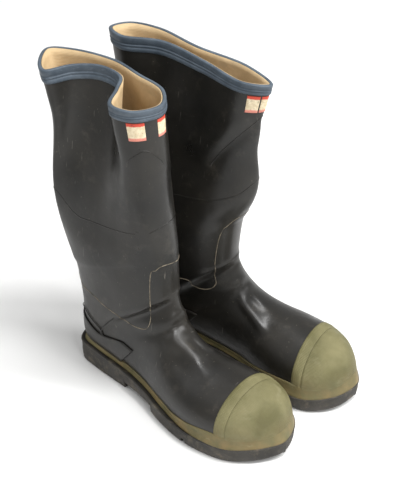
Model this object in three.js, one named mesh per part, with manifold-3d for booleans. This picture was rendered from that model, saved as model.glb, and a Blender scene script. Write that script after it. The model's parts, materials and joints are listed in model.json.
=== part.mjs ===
// A pair of insulated rubber hunting boots, standing upright with the toes towards -Y.
// Millimetres, +Z up, +X to the wearer's left. The origin is the middle of the footprint of the pair.
//
// Every layer of a boot is cut from one surface, the outer skin of its rubber. A place on the skin
// is (ring, turn): rings run from the toe tip, over the foot and up the leg to the rim, and a turn
// runs from the back or the sole (0) by the wearer's left (0.25) to the front or the top (0.5).
// Layers that share rings and sides stay parallel, so nested layers keep their clearance.

import * as THREE from 'three';
import { mergeVertices } from 'three/addons/utils/BufferGeometryUtils.js';
import Module from 'manifold-3d';

const wasm = await Module();
wasm.setup();

// ---- driving dimensions ------------------------------------------------------------------------

const SOLE_LENGTH = 307;          // outsole, heel back to toe tip
const SOLE_WIDTH = 119;           // outsole across the ball
const RIM_HEIGHT = 394;           // floor to the middle of the rim of the right boot
const LEFT_RIM_RISE = 5;          // the left leg stands straighter, so its rim is higher
const INSTEP_HEIGHT = 153;        // floor to the bend between instep and shin
const TOE_HEIGHT = 74;            // floor to the top of the toe box
const ANKLE_BAND = 54;            // height of the part of the leg that bends
const ANKLE_WIDTH = 80;           // outside width at the top of the foot and in the ankle band

const BALL_SOLE = 19;             // floor to the top of the outsole under the ball
const HEEL_SOLE = 30;             // floor to the top of the outsole at the heel
const WAIST_RISE = 8;             // gap under the waist, in front of the heel block
const TOE_SPRING = 9;             // rise of the tread at the toe tip
const TREAD_DEPTH = 5;
const TREAD_GROOVE = 5;           // width of a groove across the tread
const SOLE_LIP = 4;               // outsole edge outside the upper
const SOLE_CUP = 3;               // depth to which the upper sits in the outsole

const CLEARANCE = 0.3;            // between faces that touch on the real boot
const RUBBER_WALL = 2.2;
const PLY_WALL = 1.6;             // steel toe cap, heel stiffener, insole board and shin ply
const INSULATION_WALL = 2.6;
const LINING_WALL = 0.9;
const FOOTBED_WALL = 3.5;
const CAP_WALL = 1.6;             // rubber laid over the toe, heel counter and foxing
const LABEL_WALL = 0.6;
const BINDING_WALL = 1.2;
const BINDING_HEIGHT = 13;
const FOXING_HEIGHT_HEEL = 9;
const FOXING_HEIGHT_TOE = 17;
const SHANK_LENGTH = 96;
const SHANK_WIDTH = 15;
const SHANK_WALL = 1.6;
const FILLER_LEAST = 2.2;          // depth of the filler where the upper sags lowest, over the shank
const UNDERSIDE_SAG = 0.16364;    // share of the heel's rise by which the upper sags below the outsole's top
const FILLER_DEPTH = FILLER_LEAST + UNDERSIDE_SAG * (HEEL_SOLE - BALL_SOLE);
const FILLER_MARGIN = 12;         // outsole left round the filler

const TOE_OUT = 4.85;             // each boot turns out by this many degrees
const HEEL_SPREAD = 0.65;         // share of the sole's width that the two heels need side by side
const HEELS_CLOSER = 3;           // the backs of the heels stand closer than that, as the boots turn out
const LEFT_OFFSET = [Math.max(ANKLE_WIDTH, HEEL_SPREAD * SOLE_WIDTH) - HEELS_CLOSER, -17.1];

const SIDES = 24;                 // facets round a ring
const SEAM_SHIFT = 0.012;         // share of a ring step that a seam takes from each side
const SLIVER = 0.05;              // detail below this is dropped after a cut
const WELD = 0.004;               // vertices closer than this after a cut are joined
const CRUMB = 0.5;                // cubic millimetres; a smaller loose body is a crumb of a cut

// Rings where the pieces end.
const TIP_RING = 0.5;             // front end of the toe cap cover, behind the foxing
const CAP_RING = 3;               // rear edge of the ribbed toe cap cover
const STRIP_RING = 4;             // rear edge of the smooth strip behind it
const COUNTER_RING = 10.5;        // top of the heel counter patch at the back
const FOOT_RING = 11;             // foot ends, ankle band begins
const ANKLE_RING = 12;            // ankle band ends, leg begins
const WARM_RING = 14;             // top of the insulation
const RIM_RING = 17;

// ---- outline of the sole -----------------------------------------------------------------------

// Share of the length, then half widths as shares of the width: outer side, inner side.
const FOOTPRINT = [
  [0.000, 0.11, 0.11], [0.030, 0.235, 0.22], [0.127, 0.294, 0.311], [0.287, 0.32, 0.307],
  [0.417, 0.375, 0.277], [0.528, 0.462, 0.311], [0.642, 0.515, 0.395], [0.743, 0.504, 0.441],
  [0.840, 0.445, 0.454], [0.919, 0.319, 0.37], [0.975, 0.16, 0.22], [1.000, 0.08, 0.1],
];

const footprint = new THREE.CatmullRomCurve3(
  FOOTPRINT.map(([share, outer, inner]) => new THREE.Vector3(
    share * SOLE_LENGTH, outer * SOLE_WIDTH, inner * SOLE_WIDTH)),
  false, 'catmullrom', 0.5);

/** Half widths of the outsole at a distance from the heel back. */
function soleAt(along) {
  let low = 0;
  let high = 1;
  for (let step = 0; step < 24; step += 1) {
    const middle = (low + high) / 2;
    if (footprint.getPoint(middle).x < along) low = middle;
    else high = middle;
  }
  const point = footprint.getPoint(low);
  return { outer: point.y, inner: point.z };
}

/** Smooth step from 0 at the first place to 1 at the second. */
function ease(from, to, place) {
  return THREE.MathUtils.smoothstep(place, from, to);
}

const HEEL_BREAST = 0.29 * SOLE_LENGTH;
const BALL_START = 0.46 * SOLE_LENGTH;
const TREAD_END = 0.82 * SOLE_LENGTH;

/** Height of the top of the outsole's edge. */
function soleTop(along) {
  const drop = HEEL_SOLE - BALL_SOLE;
  const toe = 0.6 * TOE_SPRING * ease(TREAD_END, SOLE_LENGTH, along);
  return HEEL_SOLE - drop * ease(0.12 * SOLE_LENGTH, 0.6 * SOLE_LENGTH, along) + toe;
}

/** Height of the tread's face. */
function treadFace(along) {
  if (along > HEEL_BREAST && along < BALL_START) return WAIST_RISE;
  return TOE_SPRING * ease(TREAD_END, SOLE_LENGTH * 1.08, along) ** 1.5;
}

// ---- skin of the upper -------------------------------------------------------------------------

// Rings of the foot: top place along, top height, bottom place along, share of the half widths of
// the sole, then the squareness of the upper and lower half. Places along are shares of the sole
// length, and heights above the toe box are shares of the rise from there to the instep.
const SOLE_MARGIN = 0.013;
const FOOT_RINGS = [
  { top: 0.980, toe: 0.40, bottom: 0.980, width: 0.00, crown: 2.0, base: 2.0 },
  { top: 0.957, toe: 0.73, bottom: 0.963, width: 0.87, crown: 2.0, base: 2.4 },
  { top: 0.902, toe: 0.93, bottom: 0.905, width: 0.97, crown: 2.0, base: 3.2 },
  { top: 0.830, toe: 1.01, bottom: 0.838, width: 0.985, crown: 2.0, base: 3.6 },
  { top: 0.795, toe: 1.04, bottom: 0.803, width: 0.985, crown: 2.0, base: 3.6 },
  { top: 0.700, toe: 1.09, bottom: 0.700, width: 0.98, crown: 1.9, base: 3.6 },
  { top: 0.615, rise: 0.14, bottom: 0.600, width: 0.97, crown: 1.9, base: 3.6 },
  { top: 0.540, rise: 0.31, bottom: 0.500, width: 0.96, crown: 1.9, base: 3.4 },
  { top: 0.488, rise: 0.61, bottom: 0.310, width: 0.98, crown: 2.0, base: 3.1 },
  { top: 0.462, rise: 0.87, bottom: 0.040, width: 1.00, crown: 2.1, base: 2.6 },
];

// Rings from the heel up, whose backs are off the sole: the back's share of the instep height, and
// the share by which the width has gone from the sole's to the ankle's.
const ANKLE_RINGS = [
  { top: 0.455, rise: 0.95, back: 0.013, lift: 0.36, toAnkle: 0.55 },
  { top: 0.451, rise: 1.00, back: 0.016, lift: 0.62, toAnkle: 1.0 },
];

const TOP_HEIGHT = INSTEP_HEIGHT - TOE_HEIGHT;
const BACK_DROP = 0.38 * INSTEP_HEIGHT;

/** One ring of the foot or ankle, its half widths named by the side of the foot. */
function footRing(row) {
  const top = row.top * SOLE_LENGTH;
  const height = row.toe ? row.toe * TOE_HEIGHT : TOE_HEIGHT + row.rise * TOP_HEIGHT;
  if (row.back !== undefined) {
    const heel = soleAt(0.16 * SOLE_LENGTH);
    const width = (side) => THREE.MathUtils.lerp(heel[side], ANKLE_WIDTH / 2, row.toAnkle);
    return {
      top: [top, height], bottom: [row.back * SOLE_LENGTH, row.lift * INSTEP_HEIGHT],
      outer: width('outer'), inner: width('inner'), crown: 2.1, base: 2.3, widest: 0,
    };
  }
  const bottom = row.bottom * SOLE_LENGTH;
  const edge = soleAt(Math.min(0.75 * bottom + 0.25 * top, SOLE_LENGTH * (1 - SOLE_MARGIN)));
  const atTip = row.width === 0;
  return {
    top: [top, height],
    bottom: [bottom, atTip ? height : soleTop(bottom) - SOLE_CUP],
    outer: atTip ? 0 : edge.outer * row.width - SOLE_LIP,
    inner: atTip ? 0 : edge.inner * row.width - SOLE_LIP,
    crown: row.crown, base: row.base, widest: -0.3,
  };
}

const ankleTop = {
  top: [0.447 * SOLE_LENGTH, INSTEP_HEIGHT + ANKLE_BAND],
  bottom: [0.026 * SOLE_LENGTH, INSTEP_HEIGHT + ANKLE_BAND - BACK_DROP],
  outer: ANKLE_WIDTH / 2, inner: ANKLE_WIDTH / 2, crown: 2.1, base: 2.2, widest: 0,
};

const lowerRings = [...[...FOOT_RINGS, ...ANKLE_RINGS].map(footRing), ankleTop];

// Rims seen from above, as places (across to the wearer's left, along from the heel back), from the
// back round by the wearer's left. The empty legs are slack: the right one has a deep fold on its
// outer side, and the left one is pressed flat.
const RIGHT_RIM = [
  [-27, -27], [4, -46], [22, -25], [37, 25], [33, 65], [28, 103], [4, 123], [-27, 110],
  [-33, 84], [-5, 67], [16, 52], [17, 22], [-2, 0], [-32, -14],
];
const LEFT_RIM = [
  [-4, -25], [19, -14], [30, 19], [24, 72], [25, 134], [8, 174], [-8, 148], [3, 90], [8, 36], [-12, -6],
];

// Where the leg stands out between its rim and ankle: middle and reach in rings, the same in turns,
// and the push across and along.
const RIGHT_BULGES = [{ ring: [13.4, 2.6], turn: [0.95, 0.3], push: [-11, -20] }];
const LEFT_BULGES = [
  { ring: [13.4, 2.4], turn: [0.5, 0.4], push: [0, 14] },
  { ring: [14.2, 1.8], turn: [0.5, 0.32], push: [0, 10] },
  { ring: [13.4, 2.6], turn: [0.02, 0.3], push: [0, -12] },
];

const BOOTS = [
  {
    name: 'right', outerSign: -1, rim: RIGHT_RIM, bulges: RIGHT_BULGES, height: RIM_HEIGHT, tilt: -0.045,
  },
  {
    name: 'left', outerSign: 1, rim: LEFT_RIM, bulges: LEFT_BULGES,
    height: RIM_HEIGHT + LEFT_RIM_RISE, tilt: -0.108,
  },
];

/** Slope at the middle of three values, so gentle that the curve never passes beyond them. */
function steadySlope(before, here, after) {
  const steps = [here - before, after - here];
  if (steps[0] * steps[1] <= 0) return 0;
  const limit = 3 * Math.min(Math.abs(steps[0]), Math.abs(steps[1]));
  return THREE.MathUtils.clamp((after - before) / 2, -limit, limit);
}

/** Value between b and c on a smooth curve through four neighbours. */
function spline(a, b, c, d, share, steady) {
  const slopeIn = steady ? steadySlope(a, b, c) : (c - a) / 2;
  const slopeOut = steady ? steadySlope(b, c, d) : (d - b) / 2;
  const s2 = share * share;
  const s3 = s2 * share;
  return b * (2 * s3 - 3 * s2 + 1) + slopeIn * (s3 - 2 * s2 + share) + c * (3 * s2 - 2 * s3)
    + slopeOut * (s3 - s2);
}

/** Values of the lower rings at any ring place. */
function lowerRingAt(ring) {
  const last = lowerRings.length - 1;
  const first = Math.min(Math.floor(ring), last - 1);
  const four = [first - 1, first, first + 1, first + 2]
    .map((index) => lowerRings[THREE.MathUtils.clamp(index, 0, last)]);
  const blend = (pick, steady = false) => spline(...four.map(pick), ring - first, steady);
  return {
    top: [blend((r) => r.top[0], true), blend((r) => r.top[1], true)],
    bottom: [blend((r) => r.bottom[0], true), blend((r) => r.bottom[1], true)],
    outer: blend((r) => r.outer), inner: blend((r) => r.inner),
    crown: blend((r) => r.crown), base: blend((r) => r.base), widest: blend((r) => r.widest),
  };
}

/** Point of a lower ring, before the leg's fold. */
function lowerPoint(boot, ring, turn) {
  const row = lowerRingAt(ring);
  const angle = 2 * Math.PI * turn - Math.PI / 2;
  const across = Math.cos(angle);
  const up = Math.sin(angle);
  const power = 2 / (up > 0 ? row.crown : row.base);
  const rise = Math.sign(up) * Math.abs(up) ** power;
  const level = row.widest + rise * (rise > 0 ? 1 - row.widest : 1 + row.widest);
  const outside = Math.sign(across) === boot.outerSign;
  const x = Math.sign(across) * Math.abs(across) ** power * (outside ? row.outer : row.inner);
  const share = (level + 1) / 2;
  const along = THREE.MathUtils.lerp(row.bottom[0], row.top[0], share);
  return new THREE.Vector3(x, -along, THREE.MathUtils.lerp(row.bottom[1], row.top[1], share));
}

/** Rim outline of a boot, with its places evenly spaced round it and its middle. */
function rimOf(boot) {
  const scale = SOLE_LENGTH / 307;
  const middle = boot.rim.reduce((sum, place) => sum + place[1], 0) / boot.rim.length;
  const places = boot.rim.map(([across, along]) => new THREE.Vector3(
    across * scale, -along * scale, boot.height + boot.tilt * (along - middle) * scale));
  const curve = new THREE.CatmullRomCurve3(places, true, 'centripetal');
  curve.arcLengthDivisions = 400;
  const centre = curve.getSpacedPoints(48).reduce((sum, p) => sum.add(p), new THREE.Vector3())
    .divideScalar(49);
  return { curve, centre };
}

for (const boot of BOOTS) {
  Object.assign(boot, rimOf(boot));
  boot.ankleCentre = lowerPoint(boot, ANKLE_RING, 0).add(lowerPoint(boot, ANKLE_RING, 0.5)).divideScalar(2);
}

/** Adds to a point the push of each of the leg's bulges, which fades out from its middle. */
function bulged(boot, point, ring, turn) {
  for (const bulge of boot.bulges) {
    const swing = ((((turn - bulge.turn[0] + 0.5) % 1) + 1) % 1) - 0.5;
    const far = THREE.MathUtils.clamp((ring - bulge.ring[0]) / bulge.ring[1], -1, 1);
    const away = THREE.MathUtils.clamp(swing / bulge.turn[1], -1, 1);
    const share = ((1 - far * far) * (1 - away * away)) ** 2;
    point.add(new THREE.Vector3(bulge.push[0] * share, -bulge.push[1] * share, 0));
  }
  return point;
}

/** Point on the skin. Above the ankle band the ring passes into the rim's shape. */
function skinPoint(boot, ring, turn) {
  const lapped = ((turn % 1) + 1) % 1;
  if (ring <= ANKLE_RING) return bulged(boot, lowerPoint(boot, ring, lapped), ring, lapped);
  const climb = (ring - ANKLE_RING) / (RIM_RING - ANKLE_RING);
  const travel = boot.centre.clone().sub(boot.ankleCentre);
  const fromAnkle = lowerPoint(boot, ANKLE_RING, lapped).addScaledVector(travel, climb);
  const fromRim = boot.curve.getPointAt(lapped).addScaledVector(travel, climb - 1);
  return bulged(boot, fromAnkle.lerp(fromRim, climb), ring, lapped);
}

/** Point at a depth in millimetres under the skin; a depth below zero is outside it. */
function skin(boot, ring, turn, depth) {
  const point = skinPoint(boot, ring, turn);
  if (ring === 0) return point.add(new THREE.Vector3(0, depth, 0));
  const reach = 0.1;
  const ahead = Math.min(ring + reach, RIM_RING);
  const alongRings = skinPoint(boot, ahead, turn).sub(skinPoint(boot, ahead - 2 * reach, turn));
  const turnStep = 0.01;
  const round = skinPoint(boot, ring, turn + turnStep).sub(skinPoint(boot, ring, turn - turnStep));
  const outward = alongRings.cross(round).normalize();
  return point.addScaledVector(outward, -depth);
}

// ---- closed bodies -----------------------------------------------------------------------------

/** Geometry with its close vertices joined and the faces that collapse dropped. */
function weld(geometry, reach) {
  const welded = mergeVertices(geometry, reach);
  const kept = [];
  const index = welded.getIndex().array;
  for (let i = 0; i < index.length; i += 3) {
    const [a, b, c] = index.slice(i, i + 3);
    if (a !== b && b !== c && c !== a) kept.push(a, b, c);
  }
  welded.setIndex(kept);
  return welded;
}

/** Closed geometry from quads of points, with its faces pointing out. */
function closedBody(quads) {
  const corners = [];
  for (const [a, b, c, d] of quads) corners.push(a, b, c, a, c, d);
  const body = weld(new THREE.BufferGeometry().setFromPoints(corners), 1e-3);
  const index = Array.from(body.getIndex().array);
  if (signedVolume(body, index) < 0) body.setIndex(index.reverse());
  return body;
}

function signedVolume(geometry, index) {
  const corner = (i) => new THREE.Vector3().fromBufferAttribute(geometry.getAttribute('position'), i);
  let sum = 0;
  for (let i = 0; i < index.length; i += 3) {
    sum += corner(index[i]).dot(corner(index[i + 1]).cross(corner(index[i + 2])));
  }
  return sum / 6;
}

/** Body lofted through loops of points, with flat ends. */
function loftedBody(loops) {
  const quads = [];
  for (let i = 0; i + 1 < loops.length; i += 1) {
    const near = loops[i];
    const far = loops[i + 1];
    near.forEach((point, k) => {
      const next = (k + 1) % near.length;
      quads.push([point, near[next], far[next], far[k]]);
    });
  }
  const fan = (loop, flip) => {
    for (let k = 1; k + 1 < loop.length; k += 1) {
      const corners = [loop[0], loop[k], loop[k + 1], loop[k + 1]];
      quads.push(flip ? corners.reverse() : corners);
    }
  };
  fan(loops[0], true);
  fan(loops[loops.length - 1], false);
  return closedBody(quads);
}

const allRings = (from, to) => {
  const rings = [from];
  for (let ring = Math.floor(from) + 1; ring < to; ring += 1) {
    if (ring - rings[rings.length - 1] > 0.1 && to - ring > 0.1) rings.push(ring);
  }
  if (from < COUNTER_RING && COUNTER_RING < to) rings.push(COUNTER_RING);
  return [...rings, to].sort((a, b) => a - b);
};

/** Rings of an outer layer, with one more that rounds the toe tip. */
const tippedRings = (to) => [0, TIP_RING, ...allRings(1, to)];

/**
 * Layer of the boot between two depths, over some rings. Without a span it goes all the way round;
 * with one it covers the turns from the first side to the last, counted in facets from the back.
 * A depth is a number or a function of ring and side.
 */
function layer(boot, rings, outer, inner, span) {
  const [first, last] = span || [0, SIDES];
  const depthOf = (depth, ring, side) => (typeof depth === 'function' ? depth(ring, side) : depth);
  const grid = (depth) => rings.map((ring) => {
    const row = [];
    for (let side = first; side <= last; side += 1) {
      row.push(skin(boot, ring, side / SIDES, depthOf(depth, ring, side)));
    }
    return row;
  });
  const outside = grid(outer);
  const inside = grid(inner);
  const quads = [];
  const cell = (a, b, c, d) => quads.push([a, b, c, d]);
  const columns = last - first;
  for (let i = 0; i + 1 < rings.length; i += 1) {
    for (let k = 0; k < columns; k += 1) {
      cell(outside[i][k], outside[i][k + 1], outside[i + 1][k + 1], outside[i + 1][k]);
      cell(inside[i][k], inside[i + 1][k], inside[i + 1][k + 1], inside[i][k + 1]);
    }
    if (span) {
      cell(inside[i][0], outside[i][0], outside[i + 1][0], inside[i + 1][0]);
      cell(outside[i][columns], inside[i][columns], inside[i + 1][columns], outside[i + 1][columns]);
    }
  }
  const end = rings.length - 1;
  for (let k = 0; k < columns; k += 1) {
    cell(inside[0][k], inside[0][k + 1], outside[0][k + 1], outside[0][k]);
    cell(outside[end][k], outside[end][k + 1], inside[end][k + 1], inside[end][k]);
  }
  return closedBody(quads);
}

/** Solid of everything inside a depth, from the toe tip to a ring. */
function lastSolid(boot, toRing, depth) {
  const rings = tippedRings(toRing);
  const loops = rings.map((ring) => (
    Array.from({ length: SIDES }, (_, side) => skin(boot, ring, side / SIDES, depth))));
  return loftedBody(loops);
}

const toManifold = (geometry) => new wasm.Manifold(new wasm.Mesh({
  numProp: 3,
  vertProperties: Float32Array.from(geometry.getAttribute('position').array),
  triVerts: Uint32Array.from(geometry.getIndex().array),
}));

function fromManifold(solid) {
  const mesh = solid.getMesh();
  const geometry = new THREE.BufferGeometry();
  geometry.setAttribute('position', new THREE.BufferAttribute(mesh.vertProperties, 3));
  geometry.setIndex(new THREE.BufferAttribute(mesh.triVerts, 1));
  return weld(geometry, WELD);
}

/** What two geometries have in common. */
function common(geometry, other) {
  return fromManifold(toManifold(geometry).intersect(toManifold(other)));
}

/** First geometry with the others cut out of it, without the crumbs that thin edges leave. */
function cut(geometry, ...cutters) {
  let solid = toManifold(geometry);
  for (const cutter of cutters) solid = solid.subtract(toManifold(cutter));
  const bodies = solid.simplify(SLIVER).decompose().filter((body) => body.volume() > CRUMB);
  return fromManifold(bodies.reduce((sum, body) => sum.add(body)));
}

// ---- sole --------------------------------------------------------------------------------------

/** Cross-section of the sole between two heights, inset from its edge. */
function soleSection(boot, along, inset, heights) {
  const edge = soleAt(along);
  const right = boot.outerSign < 0 ? edge.outer : edge.inner;
  const left = boot.outerSign < 0 ? edge.inner : edge.outer;
  const side = (half, sign, [z, extra]) => new THREE.Vector3(
    sign * Math.max(half - inset - extra, 2), -along, z);
  return [
    ...heights.map((row) => side(left, 1, row)),
    ...[...heights].reverse().map((row) => side(right, -1, row)),
  ];
}

const GROOVE_EDGE = 0.5;
const GROOVE_STARTS = [0.09, 0.19, 0.52, 0.59, 0.66, 0.73, 0.8, 0.87].map((share) => share * SOLE_LENGTH);
const GROOVE_ENDS = GROOVE_STARTS.map((start) => start + TREAD_GROOVE + GROOVE_EDGE);

/** Places along the sole where its tread steps up or down, as [place, depth of the groove]. */
function treadSteps() {
  return GROOVE_STARTS.flatMap((start) => [
    [start, 0],
    [start + GROOVE_EDGE, TREAD_DEPTH],
    [start + TREAD_GROOVE, TREAD_DEPTH],
    [start + TREAD_GROOVE + GROOVE_EDGE, 0],
  ]);
}

const SOLE_SHARES = [0.035, 0.07, 0.14, 0.24, 0.38, 0.48, 0.84, 0.91, 0.94, 0.968];

function outsoleBody(boot) {
  const edge = 1.5;
  const plain = [0, 0.012, ...SOLE_SHARES, 0.987, 1].map((share) => [share * SOLE_LENGTH, 0]);
  const breast = [[HEEL_BREAST, 0], [HEEL_BREAST + 1, 0], [BALL_START - 1, 0], [BALL_START, 0]];
  const places = [...plain, ...breast, ...treadSteps()].sort((a, b) => a[0] - b[0]);
  const loops = places.map(([along, depth]) => {
    const top = soleTop(along);
    const bottom = Math.min(treadFace(along) + depth, top - 2 * edge - SOLE_CUP);
    return soleSection(boot, along, 0, [[bottom, edge], [bottom + edge, 0], [top - edge, 0], [top, edge]]);
  });
  return loftedBody(loops);
}

/** Slab under the foot, from below the upper's bottom by a depth up to well inside the upper. */
function underfootSlab(boot, inset, depth) {
  const shares = [0.13, 0.21, 0.3, 0.4, 0.5, 0.6, 0.7, 0.8, 0.89];
  const loops = shares.map((share) => {
    const along = share * SOLE_LENGTH;
    const floor = soleTop(along) - SOLE_CUP;
    return soleSection(boot, along, inset, [[floor - depth, 0], [floor + SOLE_CUP / 2, 0]]);
  });
  return loftedBody(loops);
}

/** Steel bar under the waist, or the slot for it, open below, in the underside of the filler. */
function shankBody(grow, below) {
  const start = 0.2 * SOLE_LENGTH;
  const shares = [0, 0.5, 1];
  const loops = shares.map((share) => {
    const along = start - grow + share * (SHANK_LENGTH + 2 * grow);
    const base = soleTop(along) - SOLE_CUP - FILLER_DEPTH + 2 * CLEARANCE;
    const half = SHANK_WIDTH / 2 + grow;
    const heights = [base - below, base + SHANK_WALL + grow];
    const corner = (sign, z) => new THREE.Vector3(sign * half, -along, z);
    return [corner(1, heights[0]), corner(1, heights[1]), corner(-1, heights[1]), corner(-1, heights[0])];
  });
  return loftedBody(loops);
}

/** Band round the lower edge of the upper, standing on the outsole with its facets over the outsole's. */
function foxingBody(boot) {
  const shares = [0.006, ...SOLE_SHARES, 0.992].map((share) => share * SOLE_LENGTH);
  const places = [...shares, HEEL_BREAST, BALL_START, ...GROOVE_STARTS, ...GROOVE_ENDS];
  const loops = places.sort((a, b) => a - b).map((along) => {
    const base = soleTop(along) + CLEARANCE;
    const reach = ease(0.5 * SOLE_LENGTH, 0.8 * SOLE_LENGTH, along);
    const height = THREE.MathUtils.lerp(FOXING_HEIGHT_HEEL, FOXING_HEIGHT_TOE, reach);
    return soleSection(boot, along, CAP_WALL, [[base, 0], [base + height, 0.8]]);
  });
  return loftedBody(loops);
}

/** Block whose side view is the heel counter: high at the back, and running down to the foxing. */
function counterOutline() {
  const foot = HEEL_SOLE + FOXING_HEIGHT_HEEL + 2 * CLEARANCE;
  const top = 0.6 * INSTEP_HEIGHT;
  const outline = [
    [-0.05, foot], [0.24, foot], [0.21, 0.6 * foot + 0.4 * top], [0.12, 0.95 * top], [-0.05, top],
  ];
  const slice = (across) => outline.map(([share, z]) => new THREE.Vector3(across, -share * SOLE_LENGTH, z));
  return loftedBody([slice(-SOLE_WIDTH), slice(SOLE_WIDTH)]);
}

// ---- materials ---------------------------------------------------------------------------------

const finish = (color, roughness, metalness = 0) => ({ color, roughness, metalness });
const FINISH = {
  rubber: finish('#1d1d1c', 0.55),
  olive: finish('#5c5b35', 0.75),
  tread: finish('#33312e', 0.8),
  binding: finish('#3f4a55', 0.6),
  canvas: finish('#c9ab80', 0.95),
  foam: finish('#b9b3a2', 0.95),
  felt: finish('#6d655a', 0.98),
  steel: finish('#8f9296', 0.35, 0.9),
  board: finish('#9c7b55', 0.9),
  paper: finish('#d8cdb4', 0.8),
};

// ---- assembly ----------------------------------------------------------------------------------

const depths = {
  ply: RUBBER_WALL + CLEARANCE,
  plyInside: RUBBER_WALL + CLEARANCE + PLY_WALL,
  lining: RUBBER_WALL + PLY_WALL + INSULATION_WALL + 3 * CLEARANCE,
};
depths.liningInside = depths.lining + LINING_WALL;

// Stiff pieces between the rubber and the insulation, by rings and sides.
const TOE_PLY = { rings: [1, STRIP_RING], span: [4, 20] };
const HEEL_PLY = { rings: [FOOT_RING - 1, FOOT_RING - SEAM_SHIFT], span: [-5, 5] };
const BOARD_PLY = { rings: [2, FOOT_RING - 2], span: [-3, 3] };
const SHIN_PLY = { rings: [ANKLE_RING + SEAM_SHIFT, ANKLE_RING + 2], span: [9, 15] };
const PLIES = [TOE_PLY, HEEL_PLY, BOARD_PLY, SHIN_PLY];

const covers = (ply, ring, side) => {
  const turned = side > SIDES / 2 && ply.span[0] < 0 ? side - SIDES : side;
  return ring >= ply.rings[0] - 0.5 && ring <= ply.rings[1] + 0.5
    && turned >= ply.span[0] && turned <= ply.span[1];
};

/** Outside of the insulation: against the rubber, or against a stiff piece where there is one. */
const insulationOutside = (ring, side) => {
  const behindPly = PLIES.some((ply) => covers(ply, ring, side));
  return depths.ply + (behindPly ? PLY_WALL + CLEARANCE : 0);
};
const insulationInside = depths.lining - CLEARANCE;

/** The lining leaves the insulation above its top and lies against the rubber at the rim. */
const liningDepth = (wall) => (ring) => {
  const share = ease(WARM_RING, RIM_RING, ring);
  return THREE.MathUtils.lerp(depths.lining, RUBBER_WALL + 2 * CLEARANCE, share) + wall;
};

const pair = new THREE.Group();

function bootGroup(boot) {
  const group = new THREE.Group();
  const add = (name, geometry, material) => {
    geometry.computeVertexNormals();
    const mesh = new THREE.Mesh(geometry, new THREE.MeshStandardMaterial(FINISH[material]));
    mesh.name = `${boot.name}_${name}`;
    group.add(mesh);
  };
  const footRings = allRings(0, FOOT_RING - SEAM_SHIFT);
  const ankleRings = allRings(FOOT_RING + SEAM_SHIFT, ANKLE_RING - SEAM_SHIFT);
  const legRings = (top) => allRings(ANKLE_RING + SEAM_SHIFT, top);
  const plyLayer = (ply) => layer(boot, allRings(...ply.rings), depths.ply, depths.plyInside, ply.span);
  const ringHeight = (boot.height - ankleTop.top[1]) / (RIM_RING - ANKLE_RING);
  const webRing = RIM_RING - (BINDING_WALL + CLEARANCE) / ringHeight;
  const bindingRing = RIM_RING - BINDING_HEIGHT / ringHeight;

  // Sole, from the ground up.
  const foot = lastSolid(boot, FOOT_RING, -CLEARANCE);
  const cappedToe = lastSolid(boot, STRIP_RING + 0.3, -(CAP_WALL + 2 * CLEARANCE));
  const fillerRoom = underfootSlab(boot, FILLER_MARGIN - CLEARANCE, FILLER_DEPTH + CLEARANCE);
  add('outsole', cut(outsoleBody(boot), foot, fillerRoom), 'tread');
  const filler = underfootSlab(boot, FILLER_MARGIN, FILLER_DEPTH);
  add('midsole_filler', cut(filler, foot, shankBody(CLEARANCE, FILLER_DEPTH)), 'felt');
  add('steel_shank', shankBody(0, 0), 'steel');
  add('foxing_band', cut(foxingBody(boot), foot, cappedToe), 'olive');

  // Rubber of the foot and leg, and what is laid over it.
  const vampRings = tippedRings(FOOT_RING - SEAM_SHIFT);
  add('vamp_rubber', layer(boot, vampRings, 0, RUBBER_WALL), 'rubber');
  add('ankle_rubber', layer(boot, ankleRings, 0, RUBBER_WALL), 'rubber');
  const rubberRings = [...legRings(RIM_RING - 1), bindingRing, webRing];
  add('leg_rubber', layer(boot, rubberRings, 0, RUBBER_WALL), 'rubber');
  const overlay = (rings, span, wall = CAP_WALL) => layer(boot, rings, -(wall + CLEARANCE), -CLEARANCE, span);
  add('toe_cap_cover', overlay(allRings(TIP_RING, CAP_RING - SEAM_SHIFT), [5, 19]), 'olive');
  add('toe_cap_strip', overlay([CAP_RING + SEAM_SHIFT, STRIP_RING], [5, 19]), 'olive');
  const counterSheet = overlay(allRings(FOOT_RING - 3, COUNTER_RING), [-9, 9]);
  add('heel_counter_patch', common(counterSheet, counterOutline()), 'rubber');

  // Binding over the rim, open on its inner side.
  add('top_binding', bindingBody(boot, bindingRing, webRing), 'binding');
  const labelRings = [bindingRing - 0.62, bindingRing - 0.05];
  add('label_front', overlay(labelRings, [12, 13], LABEL_WALL), 'paper');
  add('label_side', overlay(labelRings, [14, 15], LABEL_WALL), 'paper');

  // Stiff pieces inside the rubber.
  add('steel_toe_cap', plyLayer(TOE_PLY), 'steel');
  add('heel_stiffener', plyLayer(HEEL_PLY), 'board');
  add('insole_board', plyLayer(BOARD_PLY), 'board');
  add('shin_ply', plyLayer(SHIN_PLY), 'felt');

  // Insulation, lining and footbed.
  add('foot_insulation', layer(boot, footRings, insulationOutside, insulationInside), 'foam');
  add('ankle_insulation', layer(boot, ankleRings, insulationOutside, insulationInside), 'foam');
  add('leg_insulation', layer(boot, legRings(WARM_RING), insulationOutside, insulationInside), 'foam');
  add('foot_lining', layer(boot, footRings, depths.lining, depths.liningInside), 'canvas');
  add('ankle_lining', layer(boot, ankleRings, depths.lining, depths.liningInside), 'canvas');
  add('leg_lining', layer(boot, legRings(RIM_RING), liningDepth(0), liningDepth(LINING_WALL)), 'canvas');
  const footbedTop = depths.liningInside + CLEARANCE + FOOTBED_WALL;
  const footbedRings = allRings(...BOARD_PLY.rings);
  add('footbed', layer(boot, footbedRings, depths.liningInside + CLEARANCE, footbedTop, [-3, 3]), 'felt');
  return group;
}

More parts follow.
